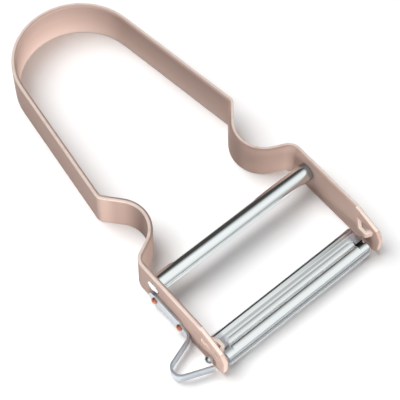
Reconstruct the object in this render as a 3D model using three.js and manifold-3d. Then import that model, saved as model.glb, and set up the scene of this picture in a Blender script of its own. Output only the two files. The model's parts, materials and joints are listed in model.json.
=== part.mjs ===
// Vegetable peeler: a bent strap handle with a swivelling slotted blade, a cross bar and an eye remover.
// Millimetres, +Z up, lying on its side edges.
// +X runs along the blade, +Y from the blade to the handle's loop.
// The pieces are laid out from the blade's pivot axis, which is the X axis at PIVOT_HEIGHT.
// The whole assembly is then moved so that the origin lies under the middle of its box.

import * as THREE from "three";
import { mergeVertices } from "three/addons/utils/BufferGeometryUtils.js";
import Module from "manifold-3d";

const wasm = await Module();
wasm.setup();

// Handle strap: the strip and its bends, sizes taken on the strip's middle line
const STRIP_WIDTH = 12.7;
const STRIP_THICKNESS = 1.3;
const STRIP_EDGE_ROUND = 0.35;
const LEG_GAP = 52;
const LEG_LENGTH = 29.7;
const LEG_BEND_RADIUS = 3.4;
const WAIST_RADIUS = 8.6;
const WAIST_INSET = 1.4;
const WAIST_LEAD_FRONT = 1.65;
const WAIST_LEAD_BACK = 1.95;
const SHOULDER_INSET = 3.7;
const SHOULDER_BEND_RADIUS = 2;
const GRIP_LENGTH = 37.2;
const LOOP_RADIUS = 17.85;

// Leg tips, seen from the side and measured from the pivot axis
const PIVOT_HEIGHT = 3.7;
const TIP_REACH = 4.9;
const TAPER_BACK = 5;
const TAPER_DROP = 2.7;
const NOSE_LENGTH = 1.5;
const NOSE_DROP = 2.4;
const CHIN_LENGTH = 2;
const CHIN_RISE = 2.2;

// Lanced stops that end the blade's swing
const STOP_RISE = 3.2;
const STOP_WIDTH = 2.1;
const STOP_BACK = 4;
const STOP_FRONT = 1.9;
const STOP_DEPTH = 2.15;
const STOP_REAR_RAMP = 3;
const STOP_FRONT_RAMP = 0.8;
const STOP_THICKNESS = 1;
const STOP_BEND_RADIUS = 0.5;
const STOP_ROOT = 1;
const LANCE_GAP = 0.05;

// Cross bar
const BAR_DIAMETER = 5;
const BAR_BACK = 22.95;
const BAR_HEIGHT = 7.8;
const BAR_SHOULDER_ROUND = 0.5;
const TENON_DIAMETER = 3.9;
const TENON_PROUD = 0.35;

// Blade, its section measured from the pivot axis
const BLADE_SHEET = 0.55;
const BLADE_END_GAP = 1.7;
const BLADE_BACK = 4.35;
const BLADE_CORNER_RADIUS = 0.8;
const REAR_FLANGE = 1.4;
const REAR_BEND_RADIUS = 0.7;
const CUTTING_EDGE = 0.8;
const EDGE_BEVEL = 0.65;
const EDGE_LAND = 0.12;
const GROOVE_BACK = 1.95;
const GROOVE_WIDTH = 0.8;
const GROOVE_DEPTH = 0.18;
const GROOVE_END = 3.5;
const EYE_LENGTH = 2.4;
const EYE_WALL = 0.45;
const NOTCH_FRONT = 2.4;
const WEB_LENGTH = 1.1;
const WEB_FRONT = 3.4;
const WEB_DROP = 0.9;
const WEB_DEPTH = 0.8;
const SLOT_FRONT = 1.14;
const SLOT_FRONT_DROP = 0.36;
const CREST_FRONT = 2.24;
const CREST_DROP = 0.205;
const CREST_RADIUS = 2.8;
const CREST_END = 3.39;
const CREST_END_DROP = 0.83;
const FRONT_FLANGE_FOOT = 3.23;
const FRONT_FLANGE_DROP = 2.72;
const FLARE_REACH = 3.86;
const FLARE_DROP = 3.35;
const FRONT_BEND_RADIUS = 0.475;
const FOOT_BEND_RADIUS = 0.625;

// Pivot pins
const PIN_DIAMETER = 1.9;
const PIN_HEAD_DIAMETER = 2.3;
const PIN_HEAD_LENGTH = 1.9;

// Eye remover and its rivets
const REMOVER_SHEET = 0.7;
const REMOVER_PLATE_WIDTH = 4.8;
const REMOVER_STRIP_WIDTH = 3.2;
const REMOVER_LOW = 1.1;
const REMOVER_REACH = 10.4;
const REMOVER_BEND_BACK = 7.8;
const REMOVER_BEND_RADIUS = 2.2;
const REMOVER_LOOP_RADIUS = 2.5;
const REMOVER_LOOP_BACK = 2.9;
const REMOVER_END_FRONT = 2.5;
const REMOVER_NECK_LENGTH = 2.4;
const REAR_RIVET_BACK = 21.5;
const FRONT_RIVET_BACK = 11.6;
const RIVET_DIAMETER = 1.4;
const RIVET_HEAD_DIAMETER = 1.9;
const RIVET_HEAD_HEIGHT = 0.85;
const RIVET_TAIL_HEIGHT = 0.4;

// Clearances
const PIVOT_CLEARANCE = 0.1;
const SEAT_CLEARANCE = 0.05;
const REMOVER_END_CLEARANCE = 0.9;

// Fineness of the facets
const ARC_STEP = THREE.MathUtils.degToRad(9);
const ROUND_SIDES = 32;
const DOME_STEPS = 5;
const EDGE_ROUND_STEPS = 2;
const WELD_DISTANCE = 1e-4;

// Places that follow from the sizes above
const legInner = LEG_GAP / 2;
const legOuter = legInner + STRIP_THICKNESS;
const legMiddle = legInner + STRIP_THICKNESS / 2;
const waistCentre = new THREE.Vector2(
  legMiddle - WAIST_INSET,
  LEG_LENGTH + WAIST_RADIUS + WAIST_LEAD_FRONT,
);
const shoulder = new THREE.Vector2(
  legMiddle - SHOULDER_INSET,
  waistCentre.y + WAIST_RADIUS + WAIST_LEAD_BACK,
);
const loopCentre = new THREE.Vector2(0, shoulder.y + GRIP_LENGTH);
const loopBack = loopCentre.y + LOOP_RADIUS + STRIP_THICKNESS / 2;
const pinRadius = PIN_DIAMETER / 2;
const eyeBore = pinRadius + SEAT_CLEARANCE;
const eyeRadius = eyeBore + EYE_WALL;
const bladeEnd = legInner - BLADE_END_GAP;
const eyeStart = bladeEnd - EYE_LENGTH;
const removerMiddle = legOuter + SEAT_CLEARANCE + REMOVER_SHEET / 2;
const removerCentreHeight = REMOVER_LOW + REMOVER_PLATE_WIDTH / 2;
const pinEnd = legOuter + PIVOT_CLEARANCE + PIN_HEAD_LENGTH;
const removerEnd = legOuter + REMOVER_REACH;
const wellOutside = 2 * removerEnd;

// Turns drawings made in (Y, Z) so that they are extruded along X.
const alongX = new THREE.Matrix4().makeBasis(
  new THREE.Vector3(0, 1, 0),
  new THREE.Vector3(0, 0, 1),
  new THREE.Vector3(1, 0, 0),
);

// A closed geometry as a solid that can be joined and cut.
function solidFrom(geometry) {
  const bare = geometry.clone();
  bare.deleteAttribute("normal");
  bare.deleteAttribute("uv");
  const merged = mergeVertices(bare, WELD_DISTANCE);
  const corners = merged.index.array;
  const kept = [];
  for (let i = 0; i < corners.length; i += 3) {
    const [a, b, c] = [corners[i], corners[i + 1], corners[i + 2]];
    if (a !== b && b !== c && c !== a) kept.push(a, b, c);
  }
  const mesh = new wasm.Mesh({
    numProp: 3,
    vertProperties: merged.attributes.position.array,
    triVerts: new Uint32Array(kept),
  });
  return new wasm.Manifold(mesh);
}

// A solid back as a geometry for a mesh.
function geometryFrom(solid) {
  const mesh = solid.getMesh();
  const geometry = new THREE.BufferGeometry();
  geometry.setAttribute("position", new THREE.BufferAttribute(mesh.vertProperties, 3));
  geometry.setIndex(new THREE.BufferAttribute(mesh.triVerts, 1));
  geometry.computeVertexNormals();
  return geometry;
}

// A drawing in (Y, Z), extruded along X between two planes.
function prismAlongX(shape, from, to) {
  const geometry = new THREE.ExtrudeGeometry(shape, {
    depth: to - from,
    bevelEnabled: false,
    curveSegments: ROUND_SIDES,
  });
  geometry.applyMatrix4(alongX);
  geometry.translate(from, 0, 0);
  return solidFrom(geometry);
}

// A drawing in (X, Y), extruded upwards between two heights.
function prismUpwards(shape, from, to) {
  const geometry = new THREE.ExtrudeGeometry(shape, { depth: to - from, bevelEnabled: false });
  geometry.translate(0, 0, from);
  return solidFrom(geometry);
}

function rodAlongX(y, z, radius, from, to) {
  return prismAlongX(new THREE.Shape().absarc(y, z, radius, 0, 2 * Math.PI), from, to);
}

function boxBetween(low, high) {
  const size = new THREE.Vector3(...high).sub(new THREE.Vector3(...low));
  const geometry = new THREE.BoxGeometry(size.x, size.y, size.z);
  geometry.translate(low[0] + size.x / 2, low[1] + size.y / 2, low[2] + size.z / 2);
  return solidFrom(geometry);
}

// A turned piece about X: its profile is a list of [distance along X, radius].
function turnedAlongX(profile) {
  const points = profile.map(([along, radius]) => new THREE.Vector2(radius, along));
  const geometry = new THREE.LatheGeometry(points, ROUND_SIDES);
  geometry.rotateZ(-Math.PI / 2);
  return geometryFrom(solidFrom(geometry));
}

// The profile of a dome that bulges along X from a rim to its tip.
function domeProfile(rim, radius, height) {
  const points = [];
  for (let i = 0; i <= DOME_STEPS; i++) {
    const angle = (i / DOME_STEPS) * (Math.PI / 2);
    points.push([rim + height * Math.sin(angle), i < DOME_STEPS ? radius * Math.cos(angle) : 0]);
  }
  return points;
}

// Sheet and strip are drawn by their middle line: points, each with the direction to its left.
function arcRun(centre, radius, from, to) {
  const steps = Math.max(2, Math.ceil(Math.abs(to - from) / ARC_STEP));
  const run = [];
  for (let i = 0; i <= steps; i++) {
    const angle = from + ((to - from) * i) / steps;
    const outward = new THREE.Vector2(Math.cos(angle), Math.sin(angle));
    const point = centre.clone().addScaledVector(outward, radius);
    run.push({ point, left: outward.multiplyScalar(to > from ? -1 : 1) });
  }
  return run;
}

// The arc that rounds a corner of the middle line.
function bendRun(before, corner, after, radius) {
  const back = before.clone().sub(corner).normalize();
  const ahead = after.clone().sub(corner).normalize();
  const half = back.angleTo(ahead) / 2;
  const bisector = back.clone().add(ahead).normalize();
  const centre = corner.clone().addScaledVector(bisector, radius / Math.sin(half));
  const start = corner.clone().addScaledVector(back, radius / Math.tan(half)).sub(centre);
  const turn = Math.PI - 2 * half;
  const from = start.angle();
  return arcRun(centre, radius, from, from + (back.cross(ahead) < 0 ? turn : -turn));
}

// An end of the middle line, at a point, on the way from one point to another.
function endRun(point, from, to) {
  const heading = to.clone().sub(from).normalize();
  return [{ point: point.clone(), left: new THREE.Vector2(-heading.y, heading.x) }];
}

// A middle line through corners, each [x, y] or [x, y, bend radius].
function cornerRun(corners) {
  const points = corners.map(([x, y]) => new THREE.Vector2(x, y));
  const last = points.length - 1;
  return points.flatMap((point, i) => {
    if (i === 0) return endRun(point, point, points[1]);
    if (i === last) return endRun(point, points[last - 1], point);
    return bendRun(points[i - 1], point, points[i + 1], corners[i][2]);
  });
}

// Where the straight line from a point touches a circle; side 1 or -1 picks one of the two lines.
function touchPoint(point, centre, radius, side) {
  const reach = point.clone().sub(centre);
  const angle = reach.angle() + side * Math.acos(radius / reach.length());
  return new THREE.Vector2(Math.cos(angle), Math.sin(angle)).multiplyScalar(radius).add(centre);
}

// The outline of a strip of one thickness about its middle line.
function stripShape(run, thickness) {
  const edge = (reach) => run.map(({ point, left }) => point.clone().addScaledVector(left, reach));
  return new THREE.Shape([...edge(thickness / 2), ...edge(-thickness / 2).reverse()]);
}

// The right half of the strap's middle line, from the leg's tip to the back of the loop.
function strapHalfRun() {
  const tip = new THREE.Vector2(legMiddle, -TIP_REACH);
  const legBend = new THREE.Vector2(legMiddle, LEG_LENGTH);
  const waistIn = touchPoint(legBend, waistCentre, WAIST_RADIUS, -1);
  const waistOut = touchPoint(shoulder, waistCentre, WAIST_RADIUS, 1);
  const loopIn = touchPoint(shoulder, loopCentre, LOOP_RADIUS, 1);
  const waistFrom = waistIn.clone().sub(waistCentre).angle();
  const waistTo = waistOut.clone().sub(waistCentre).angle();
  const loopFrom = loopIn.clone().sub(loopCentre).angle();
  const loopStart = loopFrom > Math.PI ? loopFrom - 2 * Math.PI : loopFrom;
  return [
    ...endRun(tip, tip, legBend),
    ...bendRun(tip, legBend, waistIn, LEG_BEND_RADIUS),
    ...arcRun(waistCentre, WAIST_RADIUS, waistFrom, waistTo),
    ...bendRun(waistOut, shoulder, loopIn, SHOULDER_BEND_RADIUS),
    ...arcRun(loopCentre, LOOP_RADIUS, loopStart, Math.PI / 2),
  ];
}

// The side view of everything in front of and above the legs' tapered tips, which is cut away.
function tipWasteShape() {
  const noseTop = STRIP_WIDTH - TAPER_DROP;
  return new THREE.Shape([
    new THREE.Vector2(TAPER_BACK, STRIP_WIDTH),
    new THREE.Vector2(NOSE_LENGTH - TIP_REACH, noseTop),
    new THREE.Vector2(-TIP_REACH, noseTop - NOSE_DROP),
    new THREE.Vector2(-TIP_REACH, CHIN_RISE),
    new THREE.Vector2(CHIN_LENGTH - TIP_REACH, 0),
    new THREE.Vector2(CHIN_LENGTH - TIP_REACH, -STRIP_WIDTH),
    new THREE.Vector2(-2 * TIP_REACH, -STRIP_WIDTH),
    new THREE.Vector2(-2 * TIP_REACH, 2 * STRIP_WIDTH),
    new THREE.Vector2(TAPER_BACK, 2 * STRIP_WIDTH),
  ]);
}

// The bridge of strip between two lancing cuts, pressed inwards; side 1 is the right leg.
function stopBridge(side) {
  const deep = side * (legMiddle - STOP_DEPTH);
  const flush = side * legMiddle;
  const run = cornerRun([
    [flush, STOP_BACK + STOP_ROOT],
    [flush, STOP_BACK, STOP_BEND_RADIUS],
    [deep, STOP_BACK - STOP_REAR_RAMP, STOP_BEND_RADIUS],
    [deep, STOP_FRONT_RAMP - STOP_FRONT, STOP_BEND_RADIUS],
    [flush, -STOP_FRONT, STOP_BEND_RADIUS],
    [flush, -STOP_FRONT - STOP_ROOT],
  ]);
  const low = PIVOT_HEIGHT + STOP_RISE;
  const high = low + STOP_WIDTH;
  return prismUpwards(stripShape(run, STOP_THICKNESS), low + LANCE_GAP, high - LANCE_GAP);
}

function handleStrap() {
  const half = strapHalfRun();
  const mirrored = half.map(({ point, left }) => ({
    point: new THREE.Vector2(-point.x, point.y),
    left: new THREE.Vector2(-left.x, left.y),
  }));
  const run = [...half, ...mirrored.reverse().slice(1)];
  const geometry = new THREE.ExtrudeGeometry(stripShape(run, STRIP_THICKNESS), {
    depth: STRIP_WIDTH - 2 * STRIP_EDGE_ROUND,
    bevelThickness: STRIP_EDGE_ROUND,
    bevelSize: STRIP_EDGE_ROUND,
    bevelOffset: -STRIP_EDGE_ROUND,
    bevelSegments: EDGE_ROUND_STEPS,
  });
  geometry.translate(0, 0, STRIP_EDGE_ROUND);
  const stopLow = PIVOT_HEIGHT + STOP_RISE;
  const stopWindow = boxBetween(
    [-wellOutside, -STOP_FRONT, stopLow],
    [wellOutside, STOP_BACK, stopLow + STOP_WIDTH],
  );
  const tenonHole = TENON_DIAMETER / 2 + SEAT_CLEARANCE;
  const rivetHole = RIVET_DIAMETER / 2 + SEAT_CLEARANCE;
  let strap = solidFrom(geometry)
    .subtract(prismAlongX(tipWasteShape(), -wellOutside, wellOutside))
    .subtract(rodAlongX(0, PIVOT_HEIGHT, pinRadius + PIVOT_CLEARANCE, -wellOutside, wellOutside))
    .subtract(rodAlongX(BAR_BACK, BAR_HEIGHT, tenonHole, -wellOutside, wellOutside))
    .subtract(stopWindow)
    .add(stopBridge(1))
    .add(stopBridge(-1));
  for (const back of [REAR_RIVET_BACK, FRONT_RIVET_BACK]) {
    strap = strap.subtract(rodAlongX(back, removerCentreHeight, rivetHole, -wellOutside, 0));
  }
  return geometryFrom(strap);
}

// The bar lies between the legs, and its tenons reach through them and are peened over.
function crossBar() {
  const shoulderX = legInner - SEAT_CLEARANCE;
  const tenonEnd = legOuter + TENON_PROUD;
  const tenon = TENON_DIAMETER / 2;
  const bar = BAR_DIAMETER / 2;
  const rightHalf = [
    [shoulderX - BAR_SHOULDER_ROUND, bar],
    [shoulderX, bar - BAR_SHOULDER_ROUND],
    [shoulderX, tenon],
    [legOuter, tenon],
    [tenonEnd, tenon - TENON_PROUD],
    [tenonEnd, 0],
  ];
  const leftHalf = rightHalf.map(([along, radius]) => [-along, radius]).reverse();
  return turnedAlongX([...leftHalf, ...rightHalf]);
}

// The sheet behind the slot: the rear flange, its bend and the plate, as far forward as given.
function rearSheetShape(front) {
  const flange = BLADE_BACK - BLADE_SHEET / 2;
  const plate = eyeRadius - BLADE_SHEET / 2;
  const run = cornerRun([
    [flange, eyeRadius - REAR_FLANGE],
    [flange, plate, REAR_BEND_RADIUS],
    [-front, plate],
  ]);
  return stripShape(run, BLADE_SHEET);
}

// The sheet before the slot, by its middle line: the crest, the front flange and the flare at its foot.
function frontSheetShape() {
  const run = cornerRun([
    [-SLOT_FRONT, eyeRadius - SLOT_FRONT_DROP],
    [-CREST_FRONT, eyeRadius - CREST_DROP, CREST_RADIUS],
    [-CREST_END, eyeRadius - CREST_END_DROP, FRONT_BEND_RADIUS],
    [-FRONT_FLANGE_FOOT, eyeRadius - FRONT_FLANGE_DROP, FOOT_BEND_RADIUS],
    [-FLARE_REACH, eyeRadius - FLARE_DROP],
  ]);
  return stripShape(run, BLADE_SHEET);
}

// What the grinder takes off the plate's front end to leave the cutting edge.
function bevelWaste() {
  const drop = BLADE_SHEET - EDGE_LAND;
  const shape = new THREE.Shape([
    new THREE.Vector2(EDGE_BEVEL - CUTTING_EDGE, eyeRadius),
    new THREE.Vector2(-CUTTING_EDGE - EDGE_BEVEL, eyeRadius - 2 * drop),
    new THREE.Vector2(-CUTTING_EDGE - EDGE_BEVEL, 2 * eyeRadius),
    new THREE.Vector2(EDGE_BEVEL - CUTTING_EDGE, 2 * eyeRadius),
  ]);
  return prismAlongX(shape, -eyeStart, eyeStart);
}

// What lies outside a rounded rear corner of the blade, seen from above.
function cornerWaste(side) {
  const centreX = side * (bladeEnd - BLADE_CORNER_RADIUS);
  const centre = new THREE.Vector2(centreX, BLADE_BACK - BLADE_CORNER_RADIUS);
  const from = side > 0 ? 0 : Math.PI;
  const arc = arcRun(centre, BLADE_CORNER_RADIUS, from, Math.PI / 2).map(({ point }) => point);
  const beyond = new THREE.Vector2(side * 2 * bladeEnd, 2 * BLADE_BACK);
  const shape = new THREE.Shape([
    ...arc,
    new THREE.Vector2(centre.x, beyond.y),
    beyond,
    new THREE.Vector2(beyond.x, centre.y),
  ]);
  return prismUpwards(shape, -wellOutside, wellOutside);
}

// A pressed groove with round ends along the plate.
function grooveWaste() {
  const reach = bladeEnd - GROOVE_END;
  const half = GROOVE_WIDTH / 2;
  const right = new THREE.Vector2(reach - half, GROOVE_BACK);
  const left = new THREE.Vector2(half - reach, GROOVE_BACK);
  const run = [
    ...arcRun(right, half, -Math.PI / 2, Math.PI / 2),
    ...arcRun(left, half, Math.PI / 2, (3 * Math.PI) / 2),
  ];
  const outline = new THREE.Shape(run.map(({ point }) => point));
  return prismUpwards(outline, eyeRadius - GROOVE_DEPTH, 2 * eyeRadius);
}

// Places along X on the side that is asked for, the lower one first.
function onSide(side, ...places) {
  return places.map((x) => side * x).sort((a, b) => a - b);
}

// The blade, about the pivot axis: two sheets either side of the slot and two rolled eyes.
// At each end a notch in the front sheet clears the eye, and a web joins the sheet to it.
function peelingBlade() {
  const webTop = eyeRadius - WEB_DROP;
  let front = prismAlongX(frontSheetShape(), -bladeEnd, bladeEnd);
  let blade = prismAlongX(rearSheetShape(0), -bladeEnd, bladeEnd);
  const edge = prismAlongX(rearSheetShape(CUTTING_EDGE), -eyeStart, eyeStart).subtract(bevelWaste());
  blade = blade.add(edge);
  for (const side of [1, -1]) {
    const [inner, outer] = onSide(side, eyeStart, bladeEnd);
    const [notchIn, notchOut] = onSide(side, eyeStart, wellOutside);
    const [webIn, webOut] = onSide(side, bladeEnd - WEB_LENGTH, bladeEnd);
    const notch = boxBetween([notchIn, -NOTCH_FRONT, -eyeRadius], [notchOut, 0, 2 * eyeRadius]);
    const web = boxBetween([webIn, -WEB_FRONT, webTop - WEB_DEPTH], [webOut, 0, webTop]);
    front = front.subtract(notch);
    blade = blade.add(rodAlongX(0, 0, eyeRadius, inner, outer)).add(web);
    blade = blade.subtract(cornerWaste(side));
  }
  blade = blade.add(front).subtract(grooveWaste());
  for (const side of [1, -1]) {
    const [inner, outer] = onSide(side, eyeStart - WEB_LENGTH, wellOutside);
    blade = blade.subtract(rodAlongX(0, 0, eyeBore, inner, outer));
  }
  return geometryFrom(blade);
}

// A pin from the blade's eye through the leg, with a round end outside that keeps it there.
function pivotPin() {
  const head = PIN_HEAD_DIAMETER / 2;
  const headStart = legOuter + PIVOT_CLEARANCE;
  return turnedAlongX([
    [eyeStart, 0],
    [eyeStart, pinRadius],
    [headStart, pinRadius],
    [headStart, head],
    ...domeProfile(headStart + PIN_HEAD_LENGTH - head, head, head),
  ]);
}

// The strip's plan: along the leg, out, round a tight turn and back to the leg.
function removerRun() {
  const start = new THREE.Vector2(-removerMiddle, REAR_RIVET_BACK + REMOVER_PLATE_WIDTH / 2);
  const bend = new THREE.Vector2(-removerMiddle, REMOVER_BEND_BACK);
  const loop = new THREE.Vector2(REMOVER_LOOP_RADIUS + REMOVER_SHEET / 2 - removerEnd, REMOVER_LOOP_BACK);
  const end = new THREE.Vector2(-legOuter - REMOVER_END_CLEARANCE, -REMOVER_END_FRONT);
  const outward = touchPoint(bend, loop, REMOVER_LOOP_RADIUS, 1);
  const homeward = touchPoint(end, loop, REMOVER_LOOP_RADIUS, -1);
  const from = outward.clone().sub(loop).angle();
  const to = homeward.clone().sub(loop).angle();
  return [
    ...endRun(start, start, bend),
    ...bendRun(start, bend, outward, REMOVER_BEND_RADIUS),
    ...arcRun(loop, REMOVER_LOOP_RADIUS, from, to),
    ...endRun(end, homeward, end),
  ];
}

// The strip's side view: a riveted plate with a round rear end, necked down to the narrower loop.
function removerSideShape() {
  const half = REMOVER_PLATE_WIDTH / 2;
  const front = -2 * REMOVER_LOOP_RADIUS - REMOVER_END_FRONT;
  const stripTop = REMOVER_LOW + REMOVER_STRIP_WIDTH;
  const neck = REMOVER_BEND_BACK + REMOVER_BEND_RADIUS;
  return new THREE.Shape()
    .moveTo(front, REMOVER_LOW)
    .lineTo(REAR_RIVET_BACK, REMOVER_LOW)
    .absarc(REAR_RIVET_BACK, removerCentreHeight, half, -Math.PI / 2, Math.PI / 2)
    .lineTo(neck + REMOVER_NECK_LENGTH, removerCentreHeight + half)
    .lineTo(neck, stripTop)
    .lineTo(front, stripTop);
}

function eyeRemover() {
  const plan = prismUpwards(stripShape(removerRun(), REMOVER_SHEET), 0, STRIP_WIDTH);
  let remover = plan.intersect(prismAlongX(removerSideShape(), -wellOutside, 0));
  for (const back of [REAR_RIVET_BACK, FRONT_RIVET_BACK]) {
    const hole = RIVET_DIAMETER / 2 + SEAT_CLEARANCE;
    remover = remover.subtract(rodAlongX(back, removerCentreHeight, hole, -wellOutside, 0));
  }
  return geometryFrom(remover);
}

// A rivet, drawn on the right leg's side with its dome outwards.
// Its tail is closed on the leg's inner face.
function rivet() {
  const shank = RIVET_DIAMETER / 2;
  const head = RIVET_HEAD_DIAMETER / 2;
  const tailFace = legInner - SEAT_CLEARANCE;
  const headFace = removerMiddle + REMOVER_SHEET / 2 + SEAT_CLEARANCE;
  return turnedAlongX([
    [tailFace - RIVET_TAIL_HEIGHT, 0],
    [tailFace - RIVET_TAIL_HEIGHT, shank],
    [tailFace, head],
    [tailFace, shank],
    [headFace, shank],
    ...domeProfile(headFace, head, RIVET_HEAD_HEIGHT),
  ]);
}

const finishes = {
  roseStrap: new THREE.MeshStandardMaterial({ color: 0xcdada0, roughness: 0.42, metalness: 0.85 }),
  polishedBar: new THREE.MeshStandardMaterial({ color: 0xd6dadd, roughness: 0.14, metalness: 1 }),
  bladeSteel: new THREE.MeshStandardMaterial({ color: 0xdfe3e6, roughness: 0.2, metalness: 1 }),
  pinSteel: new THREE.MeshStandardMaterial({ color: 0xc3ccd0, roughness: 0.16, metalness: 1 }),
  removerSteel: new THREE.MeshStandardMaterial({ color: 0xdadfe2, roughness: 0.3, metalness: 0.9 }),
  copper: new THREE.MeshStandardMaterial({ color: 0xd98a72, roughness: 0.3, metalness: 1 }),
};

function part(name, geometry, material) {
  const mesh = new THREE.Mesh(geometry, material);
  mesh.name = name;
  return mesh;
}

const assembly = new THREE.Group();
assembly.position.set((removerEnd - pinEnd) / 2, (TIP_REACH - loopBack) / 2, 0);
assembly.add(part("handle_strap", handleStrap(), finishes.roseStrap));

const bar = part("cross_bar", crossBar(), finishes.polishedBar);
bar.position.set(0, BAR_BACK, BAR_HEIGHT);
assembly.add(bar);

// What swings with the blade hangs in one group on the pivot axis.
const swing = new THREE.Group();
swing.position.set(0, 0, PIVOT_HEIGHT);
swing.add(part("peeling_blade", peelingBlade(), finishes.bladeSteel));
swing.add(part("right_pivot_pin", pivotPin(), finishes.pinSteel));
const leftPin = part("left_pivot_pin", pivotPin(), finishes.pinSteel);
leftPin.rotation.z = Math.PI;
swing.add(leftPin);
assembly.add(swing);

assembly.add(part("eye_remover", eyeRemover(), finishes.removerSteel));
for (const [name, back] of [["rear_rivet", REAR_RIVET_BACK], ["front_rivet", FRONT_RIVET_BACK]]) {
  const mesh = part(name, rivet(), finishes.copper);
  mesh.rotation.z = Math.PI;
  mesh.position.set(0, back, removerCentreHeight);
  assembly.add(mesh);
}

const peeler = new THREE.Group();
peeler.add(assembly);
export default peeler;
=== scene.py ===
# %% [markdown]
# A strap peeler, dressed for its picture
#
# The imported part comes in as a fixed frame, in metres. Each of its eight pieces is rebuilt here with finer
# bends, rounded arrises and real sheet edges, gets a finish made of nodes, and rides on the body that
# moves it.

# %% Load the frame
import json
import math

import bmesh
import bpy
from mathutils import Matrix, Vector


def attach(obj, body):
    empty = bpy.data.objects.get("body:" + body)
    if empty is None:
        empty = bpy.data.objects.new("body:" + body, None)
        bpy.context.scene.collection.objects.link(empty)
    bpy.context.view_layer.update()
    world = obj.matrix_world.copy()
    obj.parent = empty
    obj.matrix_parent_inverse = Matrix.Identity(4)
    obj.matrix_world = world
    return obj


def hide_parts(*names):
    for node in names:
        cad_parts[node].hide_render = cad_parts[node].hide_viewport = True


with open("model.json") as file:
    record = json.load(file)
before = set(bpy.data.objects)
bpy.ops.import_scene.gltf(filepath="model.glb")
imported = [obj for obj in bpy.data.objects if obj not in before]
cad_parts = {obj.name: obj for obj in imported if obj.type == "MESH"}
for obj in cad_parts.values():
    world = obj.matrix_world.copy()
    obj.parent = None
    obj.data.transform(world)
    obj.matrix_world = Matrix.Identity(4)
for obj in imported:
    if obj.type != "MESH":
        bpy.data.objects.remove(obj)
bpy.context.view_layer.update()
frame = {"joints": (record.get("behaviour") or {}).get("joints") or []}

# %% [markdown]
# Every size below is in millimetres from the blade's pivot: x along the blade from the peeler's middle, y
# from the pivot towards the handle, z up from the table. The joint in the record says where the pivot is,
# so one function puts any point of this layout in its place.

# %% The layout
MM = 0.001
PIVOT = frame["joints"][0]["pos_m"]
PIVOT_HEIGHT = PIVOT[2] / MM
SIDES = (1, -1)


def place(x, y, z):
    return Vector((PIVOT[0] + x * MM, PIVOT[1] + y * MM, z * MM))


print("pivot height", round(PIVOT_HEIGHT, 3), "mm")

# %% [markdown]
# Strip and sheet are bent from flat stock, so they are drawn as a bender would: a middle line of straight
# runs and arcs. Each point of a run carries the direction to its left, which is where the metal's
# thickness goes. A curve object could draw the same line, but its points would not sit exactly where the
# bends begin and end.

# %% Runs of straight lines and arcs
ARC_STEP = math.radians(4)
QUARTER = math.pi / 2


def fan(angle, steps):
    """Angles from 0 to a last one in equal steps, both ends included."""
    return [angle * i / steps for i in range(steps + 1)]


def heading_angle(vector):
    return math.atan2(vector.y, vector.x) % math.tau


def arc_run(centre, radius, start, stop):
    steps = max(3, math.ceil(abs(stop - start) / ARC_STEP))
    run = []
    for part_turn in fan(stop - start, steps):
        angle = start + part_turn
        outward = Vector((math.cos(angle), math.sin(angle)))
        run.append((centre + outward * radius, -outward if stop > start else outward))
    return run


def bend_run(before, corner, after, radius):
    back = (before - corner).normalized()
    ahead = (after - corner).normalized()
    half = back.angle(ahead) / 2
    centre = corner + (back + ahead).normalized() * (radius / math.sin(half))
    start = heading_angle(corner + back * (radius / math.tan(half)) - centre)
    turn = math.pi - 2 * half
    clockwise = back.x * ahead.y - back.y * ahead.x > 0
    return arc_run(centre, radius, start, start - turn if clockwise else start + turn)


def end_run(point, start, stop):
    heading = (stop - start).normalized()
    return [(point.copy(), Vector((-heading.y, heading.x)))]


def corner_run(corners):
    """A run through (x, y, bend radius) corners, between two ends without a radius."""
    points = [Vector(corner[:2]) for corner in corners]
    run = end_run(points[0], points[0], points[1])
    for i in range(1, len(points) - 1):
        run += bend_run(points[i - 1], points[i], points[i + 1], corners[i][2])
    return run + end_run(points[-1], points[-2], points[-1])


def touch_point(point, centre, radius, side):
    """Where a line from a point touches a circle, on one side of it or the other."""
    reach = point - centre
    angle = heading_angle(reach) + side * math.acos(radius / reach.length)
    return centre + Vector((math.cos(angle), math.sin(angle))) * radius


print("arcs are drawn in steps of", round(math.degrees(ARC_STEP)), "degrees")

# %% [markdown]
# A strip is then a ring of points carried along its run. A skin over the rings makes a closed mesh. Its UV
# map is laid out in millimetres along and around the strip, so that a rolled grain can follow every bend.
# Unwrapping the finished mesh would be less work, but the grain would then drift from face to face.

# %% A skin over rings
def new_object(name, data):
    made = bpy.data.objects.new(name, data)
    bpy.context.scene.collection.objects.link(made)
    return made


def finished_mesh(name, mesh):
    bmesh.ops.recalc_face_normals(mesh, faces=mesh.faces[:])
    data = bpy.data.meshes.new(name)
    mesh.to_mesh(data)
    mesh.free()
    return new_object(name, data)


def tell(words, piece):
    print(words, len(piece.data.polygons), "faces")


def skin(name, rings, along=None):
    mesh = bmesh.new()
    grain = mesh.loops.layers.uv.new("grain")
    rows = [[mesh.verts.new(place(*point)) for point in ring] for ring in rings]
    count = len(rings[0])
    middle_ring = [Vector(point) for point in rings[len(rings) // 2]]
    around = [0.0]
    for i in range(count):
        around.append(around[-1] + (middle_ring[(i + 1) % count] - middle_ring[i]).length)
    along = along or [float(i) for i in range(len(rings))]
    for i in range(len(rows) - 1):
        for j in range(count):
            k = (j + 1) % count
            face = mesh.faces.new((rows[i][j], rows[i][k], rows[i + 1][k], rows[i + 1][j]))
            spots = ((i, j), (i, j + 1), (i + 1, j + 1), (i + 1, j))
            for loop, (row, column) in zip(face.loops, spots):
                loop[grain].uv = (along[row], around[column])
    for row in (rows[0], rows[-1]):
        mesh.faces.new(row)
    return finished_mesh(name, mesh)


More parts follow.
